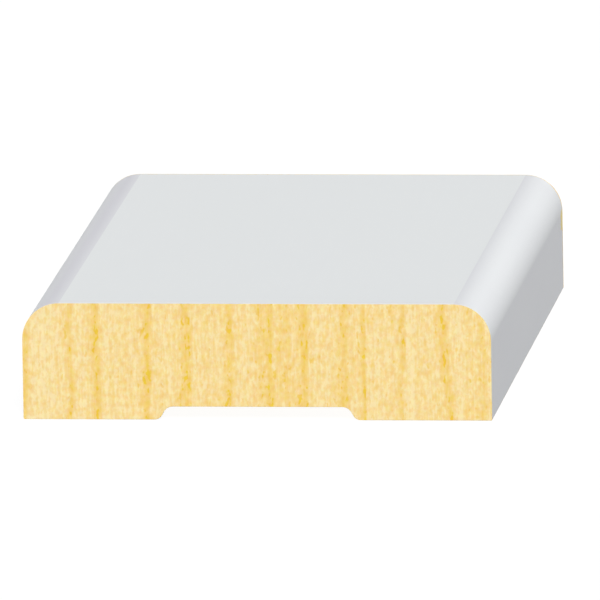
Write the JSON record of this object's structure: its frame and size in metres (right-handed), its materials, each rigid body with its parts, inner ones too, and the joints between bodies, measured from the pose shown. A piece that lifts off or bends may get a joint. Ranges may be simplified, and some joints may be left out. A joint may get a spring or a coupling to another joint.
{
  "type": "architrave moulding",
  "caption": "Short square-sawn length of primed softwood architrave with a flat face, rounded front edges and a shallow relief along the back.",
  "frame": {"origin": "middle of the back plane, which the two flat lands share, halfway along the piece", "axes": "+X across the width, +Y along the length and the grain, +Z from the back to the face"},
  "size_m": [0.0572, 0.09, 0.0143],
  "materials": {
    "primed_pine": "white primer on the face, rounded edges and long sides; bare pine on the sawn ends and the back"
  },
  "bodies": {
    "root": {"architrave_moulding": "primed_pine"}
  },
  "joints": []
}
